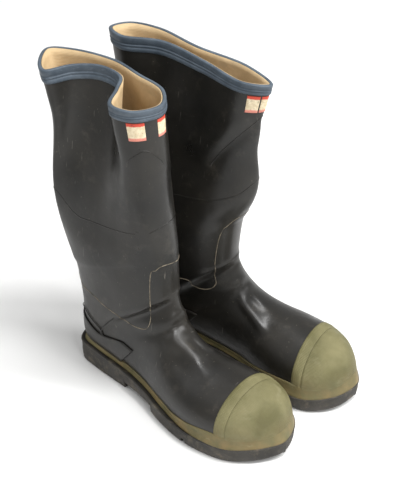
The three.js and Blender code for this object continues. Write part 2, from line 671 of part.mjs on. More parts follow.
/** Strip folded over the rim: a band outside the rubber and a web over its edge. */
function bindingBody(boot, lowRing, webRing) {
  const outside = -(BINDING_WALL + CLEARANCE);
  const section = [
    [lowRing, outside], [RIM_RING, outside], [RIM_RING, RUBBER_WALL],
    [webRing + CLEARANCE / 30, RUBBER_WALL], [webRing + CLEARANCE / 30, -CLEARANCE], [lowRing, -CLEARANCE],
  ];
  const quads = [];
  for (let side = 0; side < SIDES; side += 1) {
    const at = (turn) => section.map(([ring, depth]) => skin(boot, ring, turn / SIDES, depth));
    const near = at(side);
    const far = at(side + 1);
    near.forEach((point, k) => {
      const next = (k + 1) % near.length;
      quads.push([near[next], far[next], far[k], point]);
    });
  }
  return closedBody(quads);
}

for (const boot of BOOTS) {
  const group = bootGroup(boot);
  group.rotation.z = THREE.MathUtils.degToRad(boot.outerSign * TOE_OUT);
  if (boot.name === 'left') group.position.set(...LEFT_OFFSET, 0);
  pair.add(group);
}

// Stand the pair on the floor with its footprint's middle at the origin.
pair.updateMatrixWorld(true);
const box = new THREE.Box3().setFromObject(pair, true);
const middle = box.getCenter(new THREE.Vector3());
for (const group of pair.children) {
  group.position.x -= middle.x;
  group.position.y -= middle.y;
  group.position.z -= box.min.z;
}

export default pair;
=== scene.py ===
"""A pair of insulated rubber hunting boots: black uppers, olive toe caps and foxing, bound rims.

Metres, +Z up, toes towards -Y. A boot's own coordinates are (across, along, up): across to the
wearer's left, along from the back of the heel to the toe. Most pieces lie on one surface, the skin of
the black rubber, where a place is (ring, turn): rings run from the toe tip over the foot and up the
leg to the rim, and a turn runs from the back or the sole (0) by the wearer's left (0.25) to the
front or the top (0.5).
"""

import json
import math

import bmesh
import bpy
import numpy as np
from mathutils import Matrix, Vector
from mathutils.bvhtree import BVHTree


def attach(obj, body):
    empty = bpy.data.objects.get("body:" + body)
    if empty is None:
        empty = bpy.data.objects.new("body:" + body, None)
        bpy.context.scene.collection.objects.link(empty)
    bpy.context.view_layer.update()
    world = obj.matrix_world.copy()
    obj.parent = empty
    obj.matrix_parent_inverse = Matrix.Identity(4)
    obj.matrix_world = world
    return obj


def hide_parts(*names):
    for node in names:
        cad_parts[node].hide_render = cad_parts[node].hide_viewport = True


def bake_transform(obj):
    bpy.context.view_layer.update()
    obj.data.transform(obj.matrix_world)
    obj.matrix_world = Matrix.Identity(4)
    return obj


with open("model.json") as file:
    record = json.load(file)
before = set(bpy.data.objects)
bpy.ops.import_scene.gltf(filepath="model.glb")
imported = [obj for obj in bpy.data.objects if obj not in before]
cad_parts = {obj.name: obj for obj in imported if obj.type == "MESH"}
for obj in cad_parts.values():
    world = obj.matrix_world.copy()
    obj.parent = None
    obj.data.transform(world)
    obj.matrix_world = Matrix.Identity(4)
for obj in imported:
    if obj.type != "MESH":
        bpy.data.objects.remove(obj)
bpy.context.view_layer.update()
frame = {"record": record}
RECORD = frame["record"]

# ---- sizes -------------------------------------------------------------------------------------

MM = 0.001
SOLE_LENGTH = 307 * MM
SOLE_WIDTH = 119 * MM
INSTEP_HEIGHT = 153 * MM
TOE_HEIGHT = 74 * MM
ANKLE_BAND = 54 * MM
ANKLE_WIDTH = 80 * MM
BALL_SOLE = 19 * MM
HEEL_SOLE = 30 * MM
TOE_SPRING = 9 * MM
SOLE_LIP = 4 * MM
SOLE_CUP = 3 * MM
HINGE_ALONG = 66 * MM             # ankle hinge, forward of the back of the heel

RUBBER_WALL = 2.2 * MM
PLY_SPACE = 2.2 * MM              # stiff pieces between the rubber and the insulation
INSULATION_WALL = 2.6 * MM
LINING_WALL = 0.9 * MM
GAP = 0.3 * MM

CAP_RING = 3
STRIP_RING = 4
FOOT_RING = 11
ANKLE_RING = 12
WARM_RING = 14
RIM_RING = 17

# Share of the length, then half widths as shares of the width: outer side, inner side.
FOOTPRINT = np.array([
    [0.000, 0.00, 0.00], [0.030, 0.235, 0.22], [0.127, 0.294, 0.311], [0.287, 0.32, 0.307],
    [0.417, 0.375, 0.277], [0.528, 0.462, 0.311], [0.642, 0.515, 0.395], [0.743, 0.504, 0.441],
    [0.840, 0.445, 0.454], [0.919, 0.319, 0.37], [0.975, 0.16, 0.22], [1.000, 0.0, 0.0],
]) * [SOLE_LENGTH, SOLE_WIDTH, SOLE_WIDTH]

# Rims seen from above, in millimetres across and along, from the back round by the wearer's left.
RIGHT_RIM = [
    (-27, -27), (4, -46), (22, -25), (37, 25), (33, 65), (28, 103), (4, 123), (-27, 110),
    (-33, 84), (-5, 67), (16, 52), (17, 22), (-2, 0), (-32, -14),
]
LEFT_RIM = [
    (-4, -25), (19, -14), (30, 19), (24, 72), (25, 134), (8, 174), (-8, 148), (3, 90), (8, 36), (-12, -6),
]

# Foot rings: top's place along and height, bottom's place along, share of the sole's half width, and
# squareness of the upper and lower half. Heights are shares of the toe box, or of the rise from it.
FOOT_ROWS = [
    ("toe", 0.980, 0.40, 0.980, 0.00, 2.0, 2.0),
    ("toe", 0.957, 0.73, 0.963, 0.87, 2.0, 2.4),
    ("toe", 0.902, 0.93, 0.905, 0.97, 2.0, 3.2),
    ("toe", 0.830, 1.01, 0.838, 0.985, 2.0, 3.6),
    ("toe", 0.795, 1.04, 0.803, 0.985, 2.0, 3.6),
    ("toe", 0.700, 1.09, 0.700, 0.98, 1.9, 3.6),
    ("rise", 0.615, 0.14, 0.600, 0.97, 1.9, 3.6),
    ("rise", 0.540, 0.31, 0.500, 0.96, 1.9, 3.4),
    ("rise", 0.488, 0.61, 0.310, 0.98, 2.0, 3.1),
    ("rise", 0.462, 0.87, 0.040, 1.00, 2.1, 2.6),
]


def ease(start, end, place):
    """Smooth step from 0 at start to 1 at end."""
    share = np.clip((place - start) / (end - start), 0, 1)
    return share * share * (3 - 2 * share)


def spline_rows(rows, before, after, place, steady=0):
    """Rows of a table blended smoothly at a place counted in rows, with a row beyond each end.

    The first few columns, as many as steady says, never pass beyond the rows they lie between.
    """
    table = np.vstack([before, rows, after])
    steps = np.diff(table, axis=0)
    slopes = (steps[:-1] + steps[1:]) / 2
    limit = 3 * np.minimum(np.abs(steps[:-1]), np.abs(steps[1:])) * (steps[:-1] * steps[1:] > 0)
    slopes[:, :steady] = np.clip(slopes, -limit, limit)[:, :steady]
    place = np.clip(np.asarray(place, float), 0, len(rows) - 1)
    first = np.minimum(place.astype(int), len(rows) - 2)
    share = (place - first)[..., None]
    square, cube = share**2, share**3
    start = rows[first] * (2 * cube - 3 * square + 1) + slopes[first] * (cube - 2 * square + share)
    return start + rows[first + 1] * (3 * square - 2 * cube) + slopes[first + 1] * (cube - square)


def footprint(place):
    """Sole's place along, outer and inner half width, at a place in rows of the footprint."""
    mirror = np.array([1, -1, -1])
    before = FOOTPRINT[1] * mirror
    after = FOOTPRINT[-2] * mirror
    return spline_rows(FOOTPRINT, before[[0, 2, 1]], after[[0, 2, 1]], place)


FOOTPRINT_PLACES = np.linspace(0, len(FOOTPRINT) - 1, 1200)
FOOTPRINT_CURVE = footprint(FOOTPRINT_PLACES)


def sole_half(along, column):
    """Half width of the sole: column 1 is the outer side and 2 the inner side."""
    return np.interp(along, FOOTPRINT_CURVE[:, 0], FOOTPRINT_CURVE[:, column])


def sole_top(along):
    drop = HEEL_SOLE - BALL_SOLE
    toe = 0.6 * TOE_SPRING * ease(0.82 * SOLE_LENGTH, SOLE_LENGTH, along)
    return HEEL_SOLE - drop * ease(0.12 * SOLE_LENGTH, 0.6 * SOLE_LENGTH, along) + toe


def lower_rows():
    """Rows of (top along, top up, bottom along, bottom up, outer, inner, crown, base, widest)."""
    rows = []
    for kind, top, height, bottom, width, crown, base in FOOT_ROWS:
        up = height * TOE_HEIGHT if kind == "toe" else TOE_HEIGHT + height * (INSTEP_HEIGHT - TOE_HEIGHT)
        edge = min(0.75 * bottom + 0.25 * top, 0.987) * SOLE_LENGTH
        halves = [sole_half(edge, column) * width - SOLE_LIP for column in (1, 2)]
        floor = sole_top(bottom * SOLE_LENGTH) - SOLE_CUP
        if width == 0:
            halves, floor = [0, 0], up
        rows.append([top * SOLE_LENGTH, up, bottom * SOLE_LENGTH, floor, *halves, crown, base, -0.3])
    heel = [sole_half(0.16 * SOLE_LENGTH, column) for column in (1, 2)]
    half = ANKLE_WIDTH / 2
    for top, height, back, lift, share in ((0.455, 0.95, 0.013, 0.36, 0.55), (0.451, 1.0, 0.016, 0.62, 1.0)):
        halves = [side + (half - side) * share for side in heel]
        up = TOE_HEIGHT + height * (INSTEP_HEIGHT - TOE_HEIGHT)
        rows.append([top * SOLE_LENGTH, up, back * SOLE_LENGTH, lift * INSTEP_HEIGHT, *halves, 2.1, 2.3, 0])
    ankle_up = INSTEP_HEIGHT + ANKLE_BAND
    rows.append([0.447 * SOLE_LENGTH, ankle_up, 0.026 * SOLE_LENGTH, ankle_up - 0.38 * INSTEP_HEIGHT,
                 half, half, 2.1, 2.2, 0])
    return np.array(rows)


LOWER = lower_rows()
TIP_MIRROR = LOWER[1] * [1, 1, 1, 1, -1, -1, 1, 1, 1]
TIP_MIRROR[[1, 3]] = 2 * LOWER[0][[1, 3]] - LOWER[1][[1, 3]]


# One ring step and one whole turn, as rough lengths on the skin.
RING_SPAN = 30 * MM
TURN_SPAN = 300 * MM


def crease_lift(fold, ring, turn):
    """Height that a crease adds: a smooth ridge or groove along a path of (ring, turn) places."""
    path, lift, reach = fold
    knots = np.array(path, float) * [RING_SPAN, TURN_SPAN]
    here = np.column_stack([ring * RING_SPAN, (turn % 1) * TURN_SPAN])
    nearest = np.full(len(here), 1.0)
    place = np.zeros(len(here))
    for index, (start, end) in enumerate(zip(knots, knots[1:])):
        run = end - start
        share = np.clip((here - start) @ run / (run @ run), 0, 1)
        gap = np.linalg.norm(here - start - share[:, None] * run, axis=1)
        closer = gap < nearest
        nearest = np.where(closer, gap, nearest)
        place = np.where(closer, (index + share) / (len(knots) - 1), place)
    fade = np.sin(math.pi * np.clip(place, 0.02, 0.98)) ** 0.7
    return lift * MM * fade * np.exp(-(nearest / (reach * MM)) ** 2)


class Boot:
    """One boot: where it stands, and the skin of its rubber."""

    def __init__(self, name, outer_sign, rim, height, tilt, bulges, creases):
        hinge = next(j for j in RECORD["behaviour"]["joints"] if j["name"] == f"{name}_ankle_flex")
        self.name = name
        self.outer_sign = outer_sign
        self.across = np.array(hinge["axis"])
        self.forward = np.array([self.across[1], -self.across[0], 0])
        self.origin = np.array([*hinge["pos_m"][:2], 0]) - HINGE_ALONG * self.forward
        self.foot = f"{name}_foot"
        self.leg = f"{name}_leg"
        self.height = height
        self.bulges = bulges
        self.rim = self.rim_curve(np.array(rim, float) * MM, height, tilt)
        self.rim_centre = self.rim.mean(axis=0)
        ankle = self.lower(np.full(2, float(ANKLE_RING)), np.array([0, 0.5]))
        self.ankle_centre = ankle.mean(axis=0)
        self.creases = creases

    def rim_curve(self, outline, height, tilt):
        """Places evenly spaced round the rim's smooth outline, as (across, along, up)."""
        count = len(outline)
        rows = outline[np.arange(count + 1) % count]
        fine = []
        for index in range(count):
            four = [rows[(index + step) % count] for step in (-1, 0, 1, 2)]
            knots = np.cumsum([0] + [np.linalg.norm(b - a) ** 0.5 for a, b in zip(four, four[1:])])
            for t in np.linspace(knots[1], knots[2], 60, endpoint=False):
                level = four
                for span in (1, 2, 3):
                    level = [
                        ((knots[i + span] - t) * p + (t - knots[i]) * q) / (knots[i + span] - knots[i])
                        if span < 3 else ((knots[2] - t) * p + (t - knots[1]) * q) / (knots[2] - knots[1])
                        for i, (p, q) in enumerate(zip(level, level[1:]))
                    ]
                fine.append(level[0])
        fine = np.array(fine + [fine[0]])
        travel = np.concatenate([[0], np.cumsum(np.linalg.norm(np.diff(fine, axis=0), axis=1))])
        even = np.linspace(0, travel[-1], 721)
        plan = np.column_stack([np.interp(even, travel, fine[:, k]) for k in (0, 1)])
        middle = outline[:, 1].mean()
        return np.column_stack([plan, height + tilt * (plan[:, 1] - middle)])[:-1]

    def lower(self, ring, turn):
        """Skin of the foot and ankle, in the boot's own coordinates."""
        rows = spline_rows(LOWER, TIP_MIRROR, LOWER[-1], ring, steady=4)
        top_s, top_z, low_s, low_z, outer, inner, crown, base, widest = rows.T
        angle = 2 * math.pi * turn - math.pi / 2
        cross, up = np.cos(angle), np.sin(angle)
        power = 2 / np.where(up > 0, crown, base)
        rise = np.sign(up) * np.abs(up) ** power
        level = widest + rise * np.where(rise > 0, 1 - widest, 1 + widest)
        half = np.where(np.sign(cross) == self.outer_sign, outer, inner)
        share = (level + 1) / 2
        return np.column_stack([
            np.sign(cross) * np.abs(cross) ** power * half,
            low_s + (top_s - low_s) * share,
            low_z + (top_z - low_z) * share,
        ])

    def smooth_skin(self, ring, turn):
        """Skin without its creases. Above the ankle band it passes into the rim's shape."""
        turn = turn % 1
        points = self.lower(np.minimum(ring, ANKLE_RING), turn)
        climb = (np.clip((ring - ANKLE_RING) / (RIM_RING - ANKLE_RING), 0, None))[:, None]
        travel = self.rim_centre - self.ankle_centre
        place = turn * len(self.rim)
        first = place.astype(int) % len(self.rim)
        part = (place - place.astype(int))[:, None]
        rim = self.rim[first] * (1 - part) + self.rim[(first + 1) % len(self.rim)] * part
        from_ankle = points + travel * climb
        from_rim = rim + travel * (climb - 1)
        blended = from_ankle + (from_rim - from_ankle) * climb
        for (mid_ring, ring_reach), (mid_turn, turn_reach), push in self.bulges:
            far = np.clip((ring - mid_ring) / ring_reach, -1, 1)
            away = np.clip(((turn - mid_turn + 0.5) % 1 - 0.5) / turn_reach, -1, 1)
            blended[:, :2] += ((1 - far**2) * (1 - away**2))[:, None] ** 2 * np.array(push) * MM
        return blended

    def skin(self, ring, turn, depth=0.0):
        """Points at a depth under the skin, in the boot's own coordinates."""
        ring, turn = np.broadcast_arrays(np.asarray(ring, float), np.asarray(turn, float))
        ring, turn = ring.ravel(), turn.ravel()
        points = self.smooth_skin(ring, turn)
        reach, swing = 0.06, 0.005
        low = np.clip(ring - reach, 0.02, RIM_RING - 2 * reach)
        rising = self.smooth_skin(low + 2 * reach, turn) - self.smooth_skin(low, turn)
        round_ring = np.maximum(ring, 0.02)
        round_it = self.smooth_skin(round_ring, turn + swing) - self.smooth_skin(round_ring, turn - swing)
        outward = np.cross(round_it, rising)
        outward /= np.maximum(np.linalg.norm(outward, axis=1), 1e-12)[:, None]
        at_tip = ring < 0.03
        outward[at_tip] = [0, 1, 0]
        lift = np.zeros(len(points))
        for fold in self.creases:
            lift += crease_lift(fold, ring, turn)
        return points + outward * (lift - depth)[:, None]

    def world(self, points):
        """The boot's own coordinates to the frame's."""
        points = np.asarray(points, float)
        plan = points[:, :1] * self.across + points[:, 1:2] * self.forward + self.origin
        plan[:, 2] += points[:, 2]
        return plan


# Where the leg stands out from between its rim and ankle: middle and reach in rings, the same in
# turns, and the push across and along in millimetres.
RIGHT_BULGES = [((13.4, 2.6), (0.95, 0.3), (-11, -20))]
LEFT_BULGES = [
    ((12.9, 1.9), (0.5, 0.38), (0, 16)), ((14.2, 1.8), (0.5, 0.32), (0, 5)),
    ((13.4, 2.6), (0.02, 0.3), (0, -12)),
]

# Folds in the rubber: path of (ring, turn) places, height (below zero is a groove) and reach in
# millimetres.
RIGHT_CREASES = [
    ([(8.6, 0.70), (8.1, 0.63), (7.85, 0.585), (7.6, 0.47), (7.8, 0.36)], -2.6, 4.5),
    ([(8.9, 0.68), (8.45, 0.62), (8.25, 0.57), (8.1, 0.46), (8.3, 0.37)], 1.8, 6),
    ([(7.75, 0.63), (7.5, 0.58), (6.9, 0.55), (6.3, 0.54), (5.2, 0.572)], 4.0, 8),
    ([(7.3, 0.66), (6.9, 0.61), (6.3, 0.60), (5.6, 0.62)], -2.4, 8),
    ([(7.1, 0.50), (6.4, 0.48), (5.8, 0.47)], -1.5, 7),
    ([(9.6, 0.72), (9.2, 0.66), (9.0, 0.60), (8.95, 0.50)], -1.3, 7),
    ([(11.6, 0.80), (11.9, 0.72), (11.8, 0.66), (12.2, 0.60)], -1.6, 9),
    ([(12.9, 0.90), (12.5, 0.80), (12.6, 0.70)], 1.6, 10),
    ([(14.6, 0.63), (13.6, 0.60), (12.6, 0.58), (11.9, 0.57)], 1.5, 7),
    ([(16.2, 0.66), (15.2, 0.64), (14.0, 0.625), (13.0, 0.63)], -2.0, 9),
    ([(15.9, 0.93), (15.0, 0.88), (14.2, 0.86)], -1.6, 11),
    ([(10.9, 0.60), (10.2, 0.62), (9.7, 0.66)], 1.2, 6),
    ([(14.9, 0.50), (14.2, 0.47), (13.2, 0.48)], -1.5, 9),
]
LEFT_CREASES = [
    ([(8.5, 0.74), (8.0, 0.68), (7.8, 0.63), (7.65, 0.56), (7.7, 0.44)], -2.4, 4.5),
    ([(8.7, 0.68), (8.3, 0.62), (8.05, 0.57), (7.95, 0.50)], 1.6, 5),
    ([(7.6, 0.60), (7.3, 0.585), (6.6, 0.59), (5.6, 0.612)], 3.8, 7),
    ([(7.3, 0.54), (6.7, 0.53), (6.1, 0.54)], -1.8, 8),
    ([(9.4, 0.70), (9.0, 0.62), (8.9, 0.55), (9.0, 0.45)], -1.2, 6),
    ([(11.9, 0.72), (12.2, 0.64), (12.1, 0.56), (12.4, 0.48)], -1.4, 9),
    ([(11.0, 0.66), (10.4, 0.66), (9.8, 0.68)], 1.3, 8),
    ([(13.5, 0.72), (14.36, 0.652), (15.04, 0.592), (15.6, 0.536), (15.9, 0.49)], -2.4, 7),
    ([(13.9, 0.72), (14.8, 0.65), (15.4, 0.60), (15.95, 0.55)], 1.5, 8),
    ([(16.0, 0.78), (15.0, 0.76), (14.0, 0.74)], -2.0, 14),
    ([(13.3, 0.56), (12.9, 0.60), (12.7, 0.66)], 1.3, 8),
]

RIGHT = Boot("right", -1, RIGHT_RIM, 394 * MM, -0.045, RIGHT_BULGES, RIGHT_CREASES)
LEFT = Boot("left", 1, LEFT_RIM, 399 * MM, -0.108, LEFT_BULGES, LEFT_CREASES)
BOOTS = (RIGHT, LEFT)

# ---- meshes ------------------------------------------------------------------------------------


def piece_from(bm, name, smooth=True):
    """A scene object from a bmesh, which is then freed."""
    mesh = bpy.data.meshes.new(name)
    for face in bm.faces:
        face.smooth = smooth
    bm.to_mesh(mesh)
    bm.free()
    obj = bpy.data.objects.new(name, mesh)
    bpy.context.scene.collection.objects.link(obj)
    return obj


def draped_grid(columns, rows, place, uv_size=(1, 1)):
    """A flat grid moved point by point: place takes and returns arrays, columns and rows from 0 to 1."""
    bm = bmesh.new()
    layer = bm.loops.layers.uv.new("UVMap")
    bmesh.ops.create_grid(bm, x_segments=columns, y_segments=rows, size=1)
    flat = np.array([v.co for v in bm.verts])[:, :2] / 2 + 0.5
    for vert, point in zip(bm.verts, place(flat[:, 0], flat[:, 1])):
        vert.co = point
    bm.verts.index_update()
    for face in bm.faces:
        for loop in face.loops:
            column, row = flat[loop.vert.index]
            loop[layer].uv = (column * uv_size[0], row * uv_size[1])
    return bm


def outward(bm, weld=1e-6):
    """Doubles merged and faces turned out."""
    bmesh.ops.remove_doubles(bm, verts=bm.verts, dist=weld)
    bmesh.ops.recalc_face_normals(bm, faces=bm.faces)
    if bm.calc_volume(signed=True) < 0:
        bmesh.ops.reverse_faces(bm, faces=bm.faces)
    return bm


def along_path(path, share):
    """Ring and depth at a share of a path of (ring, depth) pairs, by the pairs' order."""
    path = np.array(path, float)
    place = share * (len(path) - 1)
    return [np.interp(place, np.arange(len(path)), path[:, k]) for k in (0, 1)]


def wall_path(low, high, outer, inner, steps):
    """Path up the outside of a layer and down its inside. Depths are numbers or functions of ring."""
    rings = np.linspace(low, high, steps)
    depth = lambda value, ring: value(ring) if callable(value) else value
    up = [(ring, depth(outer, ring)) for ring in rings]
    down = [(ring, depth(inner, ring)) for ring in rings[::-1]]
    return up + down


def sleeve(name, boot, path, columns, closed=False, uv_size=(0.42, 1)):
    """Layer that goes all the way round the boot, from a path of (ring, depth)."""
    if closed:
        path = path + path[:1]

    def place(column, row):
        ring, depth = along_path(path, row)
        return boot.world(boot.skin(ring, column, depth))

    bm = draped_grid(columns, len(path) - 1, place, uv_size)
    return piece_from(outward(bm), name)


def patch(name, boot, rings, turns, depth, wall, size, uv_size=(1, 1)):
    """Sheet laid on part of the skin, with a rounded edge and a thickness."""
    def place(column, row):
        ring = rings[0] + (rings[1] - rings[0]) * row
        turn = turns[0] + (turns[1] - turns[0]) * column
        edge = np.minimum(np.minimum(column, 1 - column) * size[0], np.minimum(row, 1 - row) * size[1])
        sink = 0.55 * wall * (1 - ease(0, 2.2, edge))
        return boot.world(boot.skin(ring, turn, depth + sink))

    bm = draped_grid(*size, place, uv_size)
    bmesh.ops.remove_doubles(bm, verts=bm.verts, dist=1e-6)
    bmesh.ops.recalc_face_normals(bm, faces=bm.faces)
    bmesh.ops.solidify(bm, geom=bm.faces[:], thickness=wall)
    return piece_from(outward(bm, 1e-7), name)


def bead(name, boot, places, radius, sink=0.0, sides=8, step=1.5 * MM):
    """Fine raised line through (ring, turn) places on the skin, with its ends closed."""
    knots = np.array(places, float)
    before, after = 2 * knots[0] - knots[1], 2 * knots[-1] - knots[-2]
    fine = spline_rows(knots, before, after, np.linspace(0, len(knots) - 1, 400))
    spine = boot.skin(fine[:, 0], fine[:, 1], sink)
    count = max(8, int(np.linalg.norm(np.diff(spine, axis=0), axis=1).sum() / step))
    fine = spline_rows(knots, before, after, np.linspace(0, len(knots) - 1, count))
    spine = boot.world(boot.skin(fine[:, 0], fine[:, 1], sink))
    above = boot.world(boot.skin(fine[:, 0], fine[:, 1], sink - 1 * MM)) - spine
    above /= np.linalg.norm(above, axis=1)[:, None]
    ahead = np.gradient(spine, axis=0)
    beside = np.cross(above, ahead)
    beside /= np.linalg.norm(beside, axis=1)[:, None]
    taper = np.clip(np.minimum(np.arange(count), np.arange(count)[::-1]) / 4, 0.02, 1)

    def place(column, row):
        index = np.rint(row * (count - 1)).astype(int)
        angle = column * 2 * math.pi
        ring = np.cos(angle)[:, None] * beside[index] + np.sin(angle)[:, None] * above[index]
        return spine[index] + ring * (radius * taper[index])[:, None]

    bm = draped_grid(sides, count - 1, place)
    bmesh.ops.remove_doubles(bm, verts=bm.verts, dist=1e-7)
    bmesh.ops.holes_fill(bm, edges=bm.edges, sides=sides)
    return piece_from(outward(bm, 1e-8), name)


# ---- materials ---------------------------------------------------------------------------------


class Finish:
    """Node helper for one material on Object coordinates or on the piece's own UV map."""

    def __init__(self, name, roughness=0.5, **sockets):
        self.material = bpy.data.materials.new(name)
        self.material.use_nodes = True
        self.tree = self.material.node_tree
        self.shader = self.tree.nodes["Principled BSDF"]
        self.shader.inputs["Roughness"].default_value = roughness
        for socket, value in sockets.items():
            self.shader.inputs[socket.replace("_", " ")].default_value = value
        self.coords = self.tree.nodes.new("ShaderNodeTexCoord")

    def node(self, kind, **settings):
        made = self.tree.nodes.new(kind)
        for key, value in settings.items():
            if key in made.inputs:
                made.inputs[key].default_value = value
            else:
                setattr(made, key, value)
        return made

    def link(self, source, target):
        self.tree.links.new(source, target)

    def mapped(self, scale, space="Object", turn=(0, 0, 0)):
        mapping = self.node("ShaderNodeMapping", Scale=scale, Rotation=turn)
        self.link(self.coords.outputs[space], mapping.inputs["Vector"])
        return mapping.outputs["Vector"]

    def noise(self, scale, detail=4, rough=0.55, stretch=(1, 1, 1), space="Object", turn=(0, 0, 0)):
        made = self.node("ShaderNodeTexNoise", Scale=scale, Detail=detail, Roughness=rough)
        self.link(self.mapped(stretch, space, turn), made.inputs["Vector"])
        return made.outputs["Fac"]

    def ramp(self, value, low, high, start=0.0, end=1.0):
        made = self.node("ShaderNodeMapRange")
        for key, number in (("From Min", low), ("From Max", high), ("To Min", start), ("To Max", end)):
            made.inputs[key].default_value = number
        self.link(value, made.inputs["Value"])
        return made.outputs["Result"]

    def colour(self, share, first, second):
        """Mix of two colours, or of linked colours, by a share."""
        made = self.node("ShaderNodeMix", data_type="RGBA")
        for index, item in ((6, first), (7, second)):
            if isinstance(item, tuple):
                made.inputs[index].default_value = (*item, 1)
            else:
                self.link(item, made.inputs[index])
        if isinstance(share, float):
            made.inputs[0].default_value = share
        else:
            self.link(share, made.inputs[0])
        return made.outputs[2]

    def math(self, operation, first, second=0.5):
        made = self.node("ShaderNodeMath", operation=operation)
        for index, item in enumerate((first, second)):
            if isinstance(item, (int, float)):
                made.inputs[index].default_value = item
            else:
                self.link(item, made.inputs[index])
        return made.outputs[0]

    def bump(self, *layers):
        """Bumps in order, each as (height, distance in metres, strength)."""
        last = None
        for height, distance, strength in layers:
            made = self.node("ShaderNodeBump", Distance=distance, Strength=strength)
            self.link(height, made.inputs["Height"])
            if last:
                self.link(last, made.inputs["Normal"])
            last = made.outputs["Normal"]
        self.link(last, self.shader.inputs["Normal"])

    def done(self, colour, roughness=None):
        self.link(colour, self.shader.inputs["Base Color"])
        if roughness:
            self.link(roughness, self.shader.inputs["Roughness"])
        return self.material


def black_rubber():
    """Matte black rubber with a brown bloom, rubbed patches, fine scratches and specks."""
    f = Finish("black_rubber", Specular_IOR_Level=0.4)
    bloom = f.ramp(f.noise(14, 7, 0.62), 0.35, 0.72)
    base = f.colour(bloom, (0.0085, 0.0082, 0.0072), (0.022, 0.0195, 0.0155))
    dust = f.ramp(f.noise(46, 8, 0.7), 0.56, 0.8)
    base = f.colour(f.math("MULTIPLY", dust, 0.5), base, (0.075, 0.066, 0.053))
    scratches = None
    for turn, cut in (((0.3, 0.5, 0.4), 0.735), ((1.2, 0.2, 2.1), 0.74)):
        lines = f.noise(34, 2, 0.5, (1, 14, 1.4), turn=turn)
        line = f.ramp(lines, cut, cut + 0.03)
        scratches = line if scratches is None else f.math("MAXIMUM", scratches, line)
    base = f.colour(f.math("MULTIPLY", scratches, 0.5), base, (0.13, 0.12, 0.1))
    specks = f.ramp(f.noise(420, 1, 0.5), 0.765, 0.8)
    base = f.colour(f.math("MULTIPLY", specks, 0.45), base, (0.2, 0.18, 0.14))
    rough = f.ramp(f.noise(22, 6, 0.6), 0.3, 0.75, 0.27, 0.5)
    f.bump((f.noise(120, 5), 0.0006, 0.25), (f.noise(900, 3), 0.0002, 0.22), (scratches, 0.0003, 0.2))
    return f.done(base, rough)


def olive_rubber(name="olive_rubber", dark=(0.105, 0.098, 0.042), light=(0.2, 0.178, 0.085), ribbed=False):
    """Olive rubber with brown dirt low down, and on the toe a fine woven rib with painted shade in its
    grooves.
    """
    f = Finish(name, Specular_IOR_Level=0.35)
    base = f.colour(f.ramp(f.noise(26, 6), 0.35, 0.7), dark, light)
    height = f.node("ShaderNodeSeparateXYZ")
    f.link(f.coords.outputs["Object"], height.inputs[0])
    low = f.ramp(height.outputs["Z"], 0.055, 0.022)
    dirt = f.math("MULTIPLY", low, f.ramp(f.noise(55, 6, 0.65), 0.36, 0.62))
    base = f.colour(f.math("MULTIPLY", dirt, 0.75), base, (0.25, 0.175, 0.075))
    pale = f.ramp(f.noise(38, 5, 0.6, (1, 1, 2.5), turn=(0.4, 0.9, 0.2)), 0.6, 0.78)
    base = f.colour(f.math("MULTIPLY", pale, 0.5), base, (0.36, 0.33, 0.2))
    layers = [(f.noise(160, 4), 0.0005, 0.3)]
    if ribbed:
        weave = None
        for axis, scale in (("X", 1), ("Y", 1)):
            wave = f.node("ShaderNodeTexWave", bands_direction=axis, Scale=scale, Distortion=0.6)
            wave.inputs["Detail Scale"].default_value = 2
            f.link(f.mapped((1, 1, 1), "UV"), wave.inputs["Vector"])
            weave = wave.outputs["Fac"] if weave is None else f.math("MULTIPLY", weave, wave.outputs["Fac"])
        layers.append((weave, 0.0005, 0.8))
        # Darker where the weave's bump is low: painted shade in the grooves of the rib.
        base = f.colour(f.math("MULTIPLY", weave, 0.35), f.colour(0.25, base, (0.07, 0.07, 0.03)), base)
    f.bump(*layers)
    return f.done(base, f.ramp(f.noise(60, 4), 0.3, 0.7, 0.5, 0.72))


def sole_rubber():
    """Dark grey rubber, worn pale and dusty in patches."""
    f = Finish("sole_rubber", Specular_IOR_Level=0.3)
    base = f.colour(f.ramp(f.noise(24, 7, 0.6), 0.3, 0.72), (0.026, 0.025, 0.023), (0.07, 0.064, 0.056))
    dust = f.ramp(f.noise(70, 7, 0.72), 0.5, 0.78)
    base = f.colour(f.math("MULTIPLY", dust, 0.6), base, (0.24, 0.2, 0.14))
    f.bump((f.noise(70, 6), 0.0009, 0.35), (f.noise(500, 4), 0.0003, 0.35))
    return f.done(base, f.ramp(f.noise(40, 4), 0.3, 0.7, 0.55, 0.8))


def binding_rubber():
    """Blue-grey rubber strip, chalky with age."""
    f = Finish("binding_rubber", Specular_IOR_Level=0.4)
    base = f.colour(f.ramp(f.noise(40, 6, 0.6), 0.32, 0.7), (0.042, 0.057, 0.075), (0.094, 0.12, 0.148))
    rub = f.ramp(f.noise(110, 5, 0.7, (1, 1, 3)), 0.58, 0.78)
    base = f.colour(f.math("MULTIPLY", rub, 0.5), base, (0.2, 0.235, 0.27))
    f.bump((f.noise(260, 4), 0.0003, 0.35))
    return f.done(base, f.ramp(f.noise(50, 4), 0.3, 0.7, 0.42, 0.62))


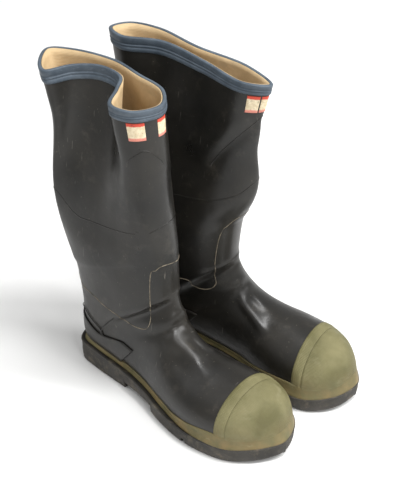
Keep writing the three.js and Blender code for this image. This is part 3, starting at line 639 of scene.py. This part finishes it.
def canvas():
    """Tan woven cotton, soiled in grey smudges, with painted light on its raised threads."""
    f = Finish("canvas", Specular_IOR_Level=0.15)
    base = f.colour(f.ramp(f.noise(30, 6, 0.6), 0.3, 0.72), (0.43, 0.3, 0.155), (0.66, 0.495, 0.29))
    smudge = f.ramp(f.noise(34, 3, 0.5, (1, 1, 1.6)), 0.6, 0.74)
    base = f.colour(f.math("MULTIPLY", smudge, 0.4), base, (0.26, 0.215, 0.15))
    weave = None
    for axis in ("X", "Y"):
        wave = f.node("ShaderNodeTexWave", bands_direction=axis, Scale=260, Distortion=1.2)
        f.link(f.mapped((1, 1, 1), "UV"), wave.inputs["Vector"])
        weave = wave.outputs["Fac"] if weave is None else f.math("ADD", weave, wave.outputs["Fac"])
    # Paler where the weave's bump rises: painted light on the raised threads.
    base = f.colour(f.ramp(weave, 0.3, 1.6, 0, 0.22), base, (0.74, 0.6, 0.4))
    f.bump((weave, 0.0003, 0.5), (f.noise(200, 4), 0.0004, 0.3))
    return f.done(base, f.ramp(f.noise(60, 3), 0.3, 0.7, 0.85, 0.97))


def seam_cement():
    """Pale cream edge of cement along a lap."""
    f = Finish("seam_cement", Specular_IOR_Level=0.3)
    patchy = f.ramp(f.noise(120, 5, 0.65), 0.36, 0.62)
    base = f.colour(patchy, (0.05, 0.044, 0.034), (0.25, 0.21, 0.15))
    f.bump((f.noise(500, 3), 0.0002, 0.3))
    return f.done(base, f.ramp(f.noise(60, 3), 0.3, 0.7, 0.5, 0.75))


def fibre(name, dark, light, scale=260):
    """Felt, foam or board, by its two tones."""
    f = Finish(name, Specular_IOR_Level=0.15)
    base = f.colour(f.ramp(f.noise(scale, 6, 0.7), 0.3, 0.7), dark, light)
    f.bump((f.noise(scale * 2, 5), 0.0006, 0.5))
    return f.done(base, f.ramp(f.noise(60, 3), 0.3, 0.7, 0.85, 0.97))


def pressed_steel():
    f = Finish("pressed_steel", Metallic=1.0)
    base = f.colour(f.ramp(f.noise(60, 5), 0.3, 0.7), (0.42, 0.43, 0.44), (0.6, 0.61, 0.62))
    f.bump((f.noise(300, 3, stretch=(1, 12, 1)), 0.0002, 0.3))
    return f.done(base, f.ramp(f.noise(90, 4), 0.3, 0.7, 0.28, 0.45))


def worn_label():
    """Blank transfer label: cream, with a red band along its top and pink along its foot."""
    f = Finish("worn_label", Specular_IOR_Level=0.35)
    split = f.node("ShaderNodeSeparateXYZ")
    f.link(f.coords.outputs["UV"], split.inputs[0])
    wander = f.math("MULTIPLY", f.noise(260, 4), 0.12)
    up = f.math("ADD", split.outputs["Y"], wander)
    base = f.colour(f.ramp(f.noise(300, 5), 0.35, 0.7), (0.62, 0.5, 0.31), (0.83, 0.73, 0.53))
    base = f.colour(f.ramp(up, 0.86, 0.9), base, (0.62, 0.07, 0.04))
    base = f.colour(f.ramp(up, 0.26, 0.2), base, (0.7, 0.25, 0.19))
    worn = f.ramp(f.noise(380, 6, 0.75), 0.6, 0.66)
    base = f.colour(worn, base, (0.05, 0.045, 0.038))
    f.bump((f.noise(500, 3), 0.0002, 0.3))
    return f.done(base, f.ramp(f.noise(60, 3), 0.3, 0.7, 0.45, 0.6))


BLACK = black_rubber()
OLIVE = olive_rubber()
RIBBED = olive_rubber("ribbed_olive_rubber", (0.15, 0.137, 0.056), (0.29, 0.262, 0.13), ribbed=True)
SOLE = sole_rubber()
BINDING = binding_rubber()
CANVAS = canvas()
CEMENT = seam_cement()
FELT = fibre("felt", (0.07, 0.06, 0.05), (0.16, 0.14, 0.115))
FOAM = fibre("insulation", (0.3, 0.28, 0.22), (0.5, 0.47, 0.38))
BOARD = fibre("leatherboard", (0.2, 0.13, 0.07), (0.36, 0.25, 0.15))
STEEL = pressed_steel()
LABEL = worn_label()


def finish_piece(piece, boot, body, material, nodes=()):
    """Material, slot, replaced nodes and body of a piece; with body None it is left on no body."""
    piece.data.materials.append(material)
    if nodes:
        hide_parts(*(f"{boot.name}_{node}" for node in nodes))
    if body:
        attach(piece, body)
    else:
        ankle_span(boot)
        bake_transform(piece)
    return piece


def ankle_span(boot):
    """Start and end of the ankle: on the rings where the foot ends and the leg begins."""
    low_top, low_back = boot.lower(np.full(2, float(FOOT_RING)), np.array([0.5, 0]))
    high = boot.lower(np.full(2, float(ANKLE_RING)), np.array([0.5, 0])).mean(axis=0)
    start = (low_top + low_back) / 2
    run = low_top - low_back
    normal = np.array([0, -run[2], run[1]]) / np.linalg.norm(run)
    end = start + normal * np.dot(high - start, normal)
    return [tuple(point) for point in boot.world(np.array([start, end]))]


# ---- pieces of a boot --------------------------------------------------------------------------


def upper_rubber(boot):
    """Black rubber of the foot and leg, one sock from the toe tip to the binding."""
    top = RIM_RING - 0.04
    path = wall_path(0, top, 0.0, RUBBER_WALL, 170)
    piece = sleeve(f"{boot.name}_upper_rubber", boot, path, 150)
    finish_piece(piece, boot, None, BLACK, ("vamp_rubber", "ankle_rubber", "leg_rubber"))
    return piece


def inner_sleeves(boot):
    """Insulation and canvas lining, inside the rubber."""
    outside = RUBBER_WALL + GAP + PLY_SPACE
    inside = outside + INSULATION_WALL
    path = wall_path(0, WARM_RING, outside, inside, 60)
    warm = sleeve(f"{boot.name}_insulation", boot, path, 72)
    nodes = ("foot_insulation", "ankle_insulation", "leg_insulation")
    finish_piece(warm, boot, None, FOAM, nodes)

    def lining_depth(ring):
        share = ease(WARM_RING, RIM_RING, ring)
        return (inside + GAP) * (1 - share) + (RUBBER_WALL + 2 * GAP) * share

    path = wall_path(0, RIM_RING - 0.01, lining_depth, lambda ring: lining_depth(ring) + LINING_WALL, 110)
    lining = sleeve(f"{boot.name}_lining", boot, path, 120, uv_size=(0.42, 1.2))
    finish_piece(lining, boot, None, CANVAS, ("foot_lining", "ankle_lining", "leg_lining"))


def binding(boot):
    """Rubber strip folded over the rim, with two raised lines along its lower edge."""
    ring_height = (boot.height - (INSTEP_HEIGHT + ANKLE_BAND)) / (RIM_RING - ANKLE_RING)
    profile = [
        (0.0, 2.4), (0.25, 1.2), (0.2, 0.2), (0.0, -0.9), (-0.5, -1.35), (-1.3, -1.45), (-5.4, -1.4),
        (-5.9, -0.95), (-6.3, -0.9), (-6.8, -1.5), (-7.4, -1.75), (-8.0, -1.5), (-8.4, -0.95), (-8.8, -0.95),
        (-9.3, -1.5), (-10.2, -1.7), (-11.4, -1.6), (-12.4, -1.2), (-13.0, -0.5), (-13.1, 0.1),
        (-1.8, 0.1), (-1.6, 2.3),
    ]
    path = [(RIM_RING + up * MM / ring_height, depth * MM) for up, depth in profile]
    piece = sleeve(f"{boot.name}_top_binding", boot, path, 220, closed=True)
    finish_piece(piece, boot, boot.leg, BINDING, ("top_binding",))


def toe_cap(boot):
    """Ribbed cover over the toe, and the smooth strip behind it."""
    cover = patch(f"{boot.name}_toe_cap_cover", boot, (0.05, CAP_RING + 0.02), (0.19, 0.81),
                  -1.5 * MM, 1.3 * MM, (120, 60), (32, 17))
    finish_piece(cover, boot, boot.foot, RIBBED, ("toe_cap_cover",))
    strip = patch(f"{boot.name}_toe_cap_strip", boot, (CAP_RING - 0.12, STRIP_RING + 0.1), (0.19, 0.81),
                  -0.9 * MM, 0.8 * MM, (120, 10), (32, 2.4))
    finish_piece(strip, boot, boot.foot, RIBBED, ("toe_cap_strip",))


def heel_counter(boot):
    """Rubber patch round the back of the heel, its top edge falling towards the foxing."""
    reach = 0.265

    def place(column, row):
        turn = -reach + 2 * reach * column
        fall = np.abs(turn) / reach
        top = 10.5 - 2.0 * fall**2.2
        ring = 8.25 + (top - 8.25) * row
        edge = np.minimum(np.minimum(column, 1 - column) * 90, (1 - row) * 44)
        sink = 0.8 * MM * (1 - ease(0, 2.5, edge))
        return boot.world(boot.skin(ring, turn, -1.3 * MM + sink))

    bm = draped_grid(90, 44, place)
    bmesh.ops.recalc_face_normals(bm, faces=bm.faces)
    bmesh.ops.solidify(bm, geom=bm.faces[:], thickness=1.0 * MM)
    piece = piece_from(outward(bm, 1e-7), f"{boot.name}_heel_counter")
    finish_piece(piece, boot, boot.foot, BLACK, ("heel_counter_patch",))


def footbed(boot):
    depth = RUBBER_WALL + PLY_SPACE + INSULATION_WALL + LINING_WALL + 3 * GAP + 3.5 * MM
    piece = patch(f"{boot.name}_footbed", boot, (2, 9), (-0.125, 0.125), depth, 3.2 * MM, (30, 60))
    finish_piece(piece, boot, boot.foot, FELT, ("footbed",))


class Wall:
    """The upper as a ray target, to lay bands on it that follow the floor and not its rings."""

    def __init__(self, boot):
        rings, turns = np.meshgrid(np.linspace(0, ANKLE_RING, 200), np.linspace(0, 1, 181))
        points = boot.skin(rings, turns)
        rows, columns = rings.shape
        index = np.arange(rows * columns).reshape(rows, columns)
        quads = np.stack([index[:-1, :-1], index[:-1, 1:], index[1:, 1:], index[1:, :-1]], -1).reshape(-1, 4)
        self.tree = BVHTree.FromPolygons([Vector(p) for p in points], [tuple(map(int, q)) for q in quads])

    def reach(self, start, direction):
        """First point of the upper from a start in a direction, or None."""
        hit = self.tree.ray_cast(Vector(start), Vector(direction))[0]
        return None if hit is None else np.array(hit)


def side_points(boot, places, sign):
    """Plan points (across, along) and outward directions of one side of the sole at footprint places."""
    column = 1 if sign == boot.outer_sign else 2
    rows = footprint(places)
    step = 0.002
    ahead, behind = footprint(places + step), footprint(places - step)
    ends = (places < step) | (places > len(FOOTPRINT) - 1 - step)
    run = ahead[:, 0] - behind[:, 0]
    spread = ahead[:, column] - behind[:, column]
    run[ends] = 0
    spread[ends] = np.where(places[ends] < step, 1, -1)
    length = np.hypot(run, spread)
    out = np.column_stack([sign * run / length, -spread / length])
    return np.column_stack([sign * rows[:, column], rows[:, 0]]), out


def round_sole(boot, places):
    """Closed plan outline: up the left side from the heel to the toe, and back down the right."""
    left, left_out = side_points(boot, places, 1)
    right, right_out = side_points(boot, places, -1)
    return np.vstack([left, right[::-1]]), np.vstack([left_out, right_out[::-1]])


# Height as a share of the band, reach from the upper (0) to the sole's edge (1), and distance out.
FOXING_PROFILE = [
    (0.0, 0.0, 0.0), (0.0, 1.0, -1.3), (0.06, 1.0, -0.9), (0.2, 0.86, -0.7), (0.45, 0.5, -0.1),
    (0.7, 0.2, 0.7), (0.88, 0.04, 1.1), (0.96, 0.0, 0.9), (1.0, 0.0, 0.2), (0.9, 0.0, -0.6), (0.1, 0.0, -0.6),
]


def foxing(boot, wall):
    """Olive band round the foot of the upper, thin at the heel and deep at the toe."""
    places = (1 - np.cos(np.linspace(0, math.pi, 120))) / 2 * (len(FOOTPRINT) - 1)
    plan, out = round_sole(boot, places)
    reach = ease(0.5 * SOLE_LENGTH, 0.8 * SOLE_LENGTH, plan[:, 1])
    height = 7.5 * MM + 9.5 * MM * reach
    base = sole_top(plan[:, 1]) - 0.8 * MM

    def place(column, row):
        index = np.rint(column * (len(plan) - 1)).astype(int)
        section = np.array(FOXING_PROFILE + FOXING_PROFILE[:1])
        step = np.rint(row * (len(section) - 1)).astype(int)
        points = []
        for at, part in zip(index, section[step]):
            up = base[at] + height[at] * part[0]
            start = np.array([*(plan[at] + out[at] * 20 * MM), up])
            hit = wall.reach(start, (-out[at][0], -out[at][1], 0))
            limit = plan[at] - out[at] * 1.5 * MM
            here = limit if hit is None else hit[:2]
            edge = max(0.0, float((plan[at] - here) @ out[at]))
            flare = part[1] * edge * (0.7 + 0.3 * reach[at])
            points.append([*(here + out[at] * (flare + part[2] * MM)), up])
        return boot.world(np.array(points))

    bm = draped_grid(len(plan) - 1, len(FOXING_PROFILE), place)
    piece = piece_from(outward(bm, 2e-5), f"{boot.name}_foxing_band")
    finish_piece(piece, boot, boot.foot, OLIVE, ("foxing_band",))


def outsole(boot):
    """Cleated sole: heel block, raised waist, one step in the ball's edge and grooves across."""
    edge_steps = [(0.29, 8.0), (0.46, 0.0), (0.655, 4.5), (0.672, 0.0)]
    grooves = [0.09, 0.19, 0.52, 0.59, 0.73, 0.8, 0.87]
    breaks = [share for share, _ in edge_steps] + [g + w for g in grooves for w in (0, 0.016)]
    sharp = sorted(share * SOLE_LENGTH + side * 0.25 * MM for share in breaks for side in (-1, 1))
    even = (1 - np.cos(np.linspace(0, math.pi, 150))) / 2 * (len(FOOTPRINT) - 1)
    at_breaks = np.interp(sharp, FOOTPRINT_CURVE[:, 0], FOOTPRINT_PLACES)
    places = np.unique(np.concatenate([even, at_breaks]))

    def edge_floor(along):
        level = np.zeros_like(along)
        for share, rise in edge_steps:
            level = np.where(along > share * SOLE_LENGTH, rise * MM, level)
        toe = TOE_SPRING * ease(0.8 * SOLE_LENGTH, 1.08 * SOLE_LENGTH, along) ** 1.4
        return level + toe

    def groove_floor(along):
        cut = np.zeros_like(along)
        for start in grooves:
            inside = (along > start * SOLE_LENGTH) & (along < (start + 0.016) * SOLE_LENGTH)
            cut = np.where(inside, 4.5 * MM, cut)
        return edge_floor(along) + cut

    # Sections from the middle of the top, over the edge and under to the middle of the tread:
    # (inset, height share, height offset, which floor).
    section = [
        (26, 1, -3, 0), (6, 1, -2.4, 0), (3.2, 1, -1.2, 0), (2.2, 1, -0.1, 0), (1.2, 1, 0.1, 0),
        (0.3, 1, -0.3, 0), (0.0, 1, -1.1, 0), (0.25, 1, -2.0, 0), (0.9, 1, -2.7, 0), (0.9, 0.6, -1.2, 0),
        (0.7, 0.45, 0, 0), (1.0, 0.25, 0, 0), (1.6, 0, 1.6, 0), (2.5, 0, 0.5, 0), (3.8, 0, 0, 0),
        (7.5, 0, 0, 0), (8.0, 0, 0, 1), (24, 0, 0, 1),
    ]
    rows = len(section)

    def half(sign):
        plan, out = side_points(boot, places, sign)
        top, low, cut = sole_top(plan[:, 1]), edge_floor(plan[:, 1]), groove_floor(plan[:, 1])
        nearer_end = np.minimum(plan[:, 1], SOLE_LENGTH - plan[:, 1]) / SOLE_LENGTH
        room = np.abs(plan[:, 0]) * 0.92 + 6 * MM * nearer_end
        loops = []
        for inset, share, offset, grooved in section:
            floor = cut if grooved else low
            up = floor + (top - floor) * share + offset * MM
            inwards = np.minimum(inset * MM, np.maximum(room, 0.5 * inset * MM))
            points = plan - out * inwards[:, None]
            loops.append(np.column_stack([points, up]))
        return np.array(loops)

    left, right = half(1), half(-1)
    ring = np.concatenate([left, right[::-1], left[:1]])

    def place(column, row):
        index = np.rint(column * (len(places) - 1)).astype(int)
        step = np.rint(row * (len(ring) - 1)).astype(int)
        return boot.world(ring[step, index])

    bm = draped_grid(len(places) - 1, len(ring) - 1, place)
    bmesh.ops.remove_doubles(bm, verts=bm.verts, dist=1e-6)
    bmesh.ops.holes_fill(bm, edges=bm.edges, sides=0)
    piece = piece_from(outward(bm, 1e-6), f"{boot.name}_outsole")
    sharpen(piece, 32)
    finish_piece(piece, boot, boot.foot, SOLE, ("outsole",))


def sharpen(piece, degrees):
    """Edges steeper than an angle are shaded sharp."""
    bm = bmesh.new()
    bm.from_mesh(piece.data)
    limit = math.radians(degrees)
    for edge in bm.edges:
        edge.smooth = not (edge.is_manifold and edge.calc_face_angle(0) > limit)
    bm.to_mesh(piece.data)
    bm.free()


# Lines on the outside of the rubber: pale cement along the lap of the leg over the foot, and the
# dark edges of the plies that lie under the black.
RIGHT_SEAM = [
    (11.75, 0.02), (11.6, 0.94), (11.35, 0.87), (11.0, 0.768), (9.5, 0.70), (8.66, 0.668), (8.5, 0.64),
    (8.92, 0.616), (10.4, 0.606), (11.54, 0.60), (11.66, 0.576), (11.7, 0.544), (11.62, 0.444), (11.7, 0.33),
]
LEFT_SEAM = [
    (11.7, 0.98), (11.3, 0.86), (10.56, 0.72), (9.3, 0.675), (8.74, 0.656), (8.6, 0.63),
    (8.94, 0.612), (10.5, 0.607), (11.64, 0.602), (12.16, 0.568), (12.28, 0.52), (12.2, 0.42), (12.0, 0.33),
]
RIGHT_PLY_LINES = [
    [(13.9, 0.99), (13.7, 0.912), (13.26, 0.836), (13.18, 0.784), (13.06, 0.688), (13.0, 0.62)],
    [(15.2, 0.615), (15.46, 0.6), (15.72, 0.556), (15.32, 0.516), (15.0, 0.50)],
    [(13.0, 0.585), (13.04, 0.564), (13.12, 0.5), (13.1, 0.43), (13.3, 0.33)],
]
LEFT_PLY_LINES = [
    [(13.4, 0.83), (13.22, 0.74), (13.14, 0.656), (13.3, 0.58), (13.62, 0.516), (13.6, 0.42)],
    [(14.1, 0.67), (14.36, 0.652), (15.04, 0.592), (15.6, 0.536), (15.98, 0.50)],
]
COUNTER_EDGE = [(10.6, 0.94), (10.56, 0.872), (9.9, 0.81), (9.24, 0.764), (8.75, 0.765), (8.4, 0.776)]
COUNTER_SEAM = [(9.9, 0.732), (9.3, 0.76), (8.62, 0.78)]


def unwrapped(places):
    """Places whose turns run on past 1 or below 0 rather than jump."""
    turns = np.unwrap([turn * 2 * math.pi for _, turn in places]) / (2 * math.pi)
    return [(ring, turn) for (ring, _), turn in zip(places, turns)]


def seams(boot, seam, ply_lines):
    """Raised lines on the rubber; the one that crosses the ankle is left on no body."""
    cement = bead(f"{boot.name}_seam_cement", boot, unwrapped(seam), 0.55 * MM, sink=0.1 * MM)
    finish_piece(cement, boot, None, CEMENT)
    for index, line in enumerate(ply_lines):
        edge = bead(f"{boot.name}_ply_edge_{index}", boot, unwrapped(line), 0.9 * MM, sink=0.45 * MM)
        finish_piece(edge, boot, boot.leg, BLACK)
    for name, line in (("counter_edge", COUNTER_EDGE), ("counter_seam", COUNTER_SEAM)):
        edge = bead(f"{boot.name}_{name}", boot, unwrapped(line), 0.7 * MM, sink=-1.0 * MM)
        finish_piece(edge, boot, boot.foot, BLACK)


def labels(boot):
    """Two torn halves of a blank label under the binding."""
    halves = {"right": ((0.485, 0.516), (0.55, 0.594)), "left": ((0.50, 0.528), (0.532, 0.566))}[boot.name]
    for name, turns in zip(("label_front", "label_side"), halves):
        piece = patch(f"{boot.name}_{name}", boot, (16.06, 16.62), turns, -0.35 * MM, 0.3 * MM, (24, 28))
        finish_piece(piece, boot, boot.leg, LABEL, (name,))


def shin_ply(boot):
    """Stiff fabric ply down the front of the leg, between the rubber and the insulation."""
    piece = patch(f"{boot.name}_shin_ply", boot, (ANKLE_RING + 0.02, ANKLE_RING + 2), (0.375, 0.625),
                  RUBBER_WALL + GAP, PLY_SPACE - 2 * GAP, (24, 30))
    finish_piece(piece, boot, boot.leg, CANVAS, ("shin_ply",))


INNER_NODES = (
    ("midsole_filler", FELT), ("steel_shank", STEEL), ("steel_toe_cap", STEEL),
    ("heel_stiffener", BOARD), ("insole_board", BOARD),
)


def inner_nodes(boot):
    """Materials of the hidden pieces that keep their CAD shape."""
    for node, material in INNER_NODES:
        mesh = bpy.data.objects[f"{boot.name}_{node}"].data
        mesh.materials.clear()
        mesh.materials.append(material)


def make_boot(boot):
    upper_rubber(boot)
    inner_sleeves(boot)
    binding(boot)
    toe_cap(boot)
    heel_counter(boot)
    footbed(boot)
    wall = Wall(boot)
    foxing(boot, wall)
    outsole(boot)
    seams(boot, *{"right": (RIGHT_SEAM, RIGHT_PLY_LINES), "left": (LEFT_SEAM, LEFT_PLY_LINES)}[boot.name])
    labels(boot)
    shin_ply(boot)
    inner_nodes(boot)


# ---- studio ------------------------------------------------------------------------------------

CAMERA_AIM = Vector((-0.0269, -0.0235, 0.2086))
CAMERA_AZIMUTH = math.radians(-54.2)
CAMERA_ELEVATION = math.radians(37.0)
CAMERA_DISTANCE = 1.43
CAMERA_LENS = 92.5


def direction(azimuth, elevation):
    level = math.cos(elevation)
    return Vector((math.sin(azimuth) * level, -math.cos(azimuth) * level, math.sin(elevation)))


def aimed(obj, place, target):
    obj.location = place
    obj.rotation_euler = (target - place).to_track_quat("-Z", "Y").to_euler()
    bpy.context.scene.collection.objects.link(obj)


def softbox(name, azimuth, elevation, distance, size, power):
    light = bpy.data.lights.new(name, "AREA")
    light.shape = "RECTANGLE"
    light.size, light.size_y = size
    light.energy = power
    place = CAMERA_AIM + direction(math.radians(azimuth), math.radians(elevation)) * distance
    aimed(bpy.data.objects.new(name, light), place, CAMERA_AIM)


def studio():
    camera = bpy.data.cameras.new("camera")
    camera.lens = CAMERA_LENS
    obj = bpy.data.objects.new("camera", camera)
    aimed(obj, CAMERA_AIM + direction(CAMERA_AZIMUTH, CAMERA_ELEVATION) * CAMERA_DISTANCE, CAMERA_AIM)
    bpy.context.scene.camera = obj

    bm = bmesh.new()
    bmesh.ops.create_grid(bm, x_segments=1, y_segments=1, size=5)
    floor = piece_from(bm, "studio_floor", smooth=False)
    pale = Finish("studio_floor", roughness=0.9)
    pale.shader.inputs["Base Color"].default_value = (0.9, 0.9, 0.89, 1)
    floor.data.materials.append(pale.material)

    world = bpy.data.worlds.new("studio")
    world.use_nodes = True
    world.node_tree.nodes["Background"].inputs[0].default_value = (1, 1, 1, 1)
    world.node_tree.nodes["Background"].inputs[1].default_value = 0.5
    bpy.context.scene.world = world
    softbox("left_softbox", -140, 50, 2.2, (0.9, 1.2), 5)
    softbox("right_softbox", 30, 46, 2.2, (0.5, 0.9), 30)
    softbox("top_softbox", 10, 74, 2.2, (0.6, 0.6), 34)
    softbox("front_softbox", -25, 40, 2.4, (0.8, 0.8), 14)
    bpy.context.scene.view_settings.view_transform = "Standard"


studio()
for one in BOOTS:
    make_boot(one)
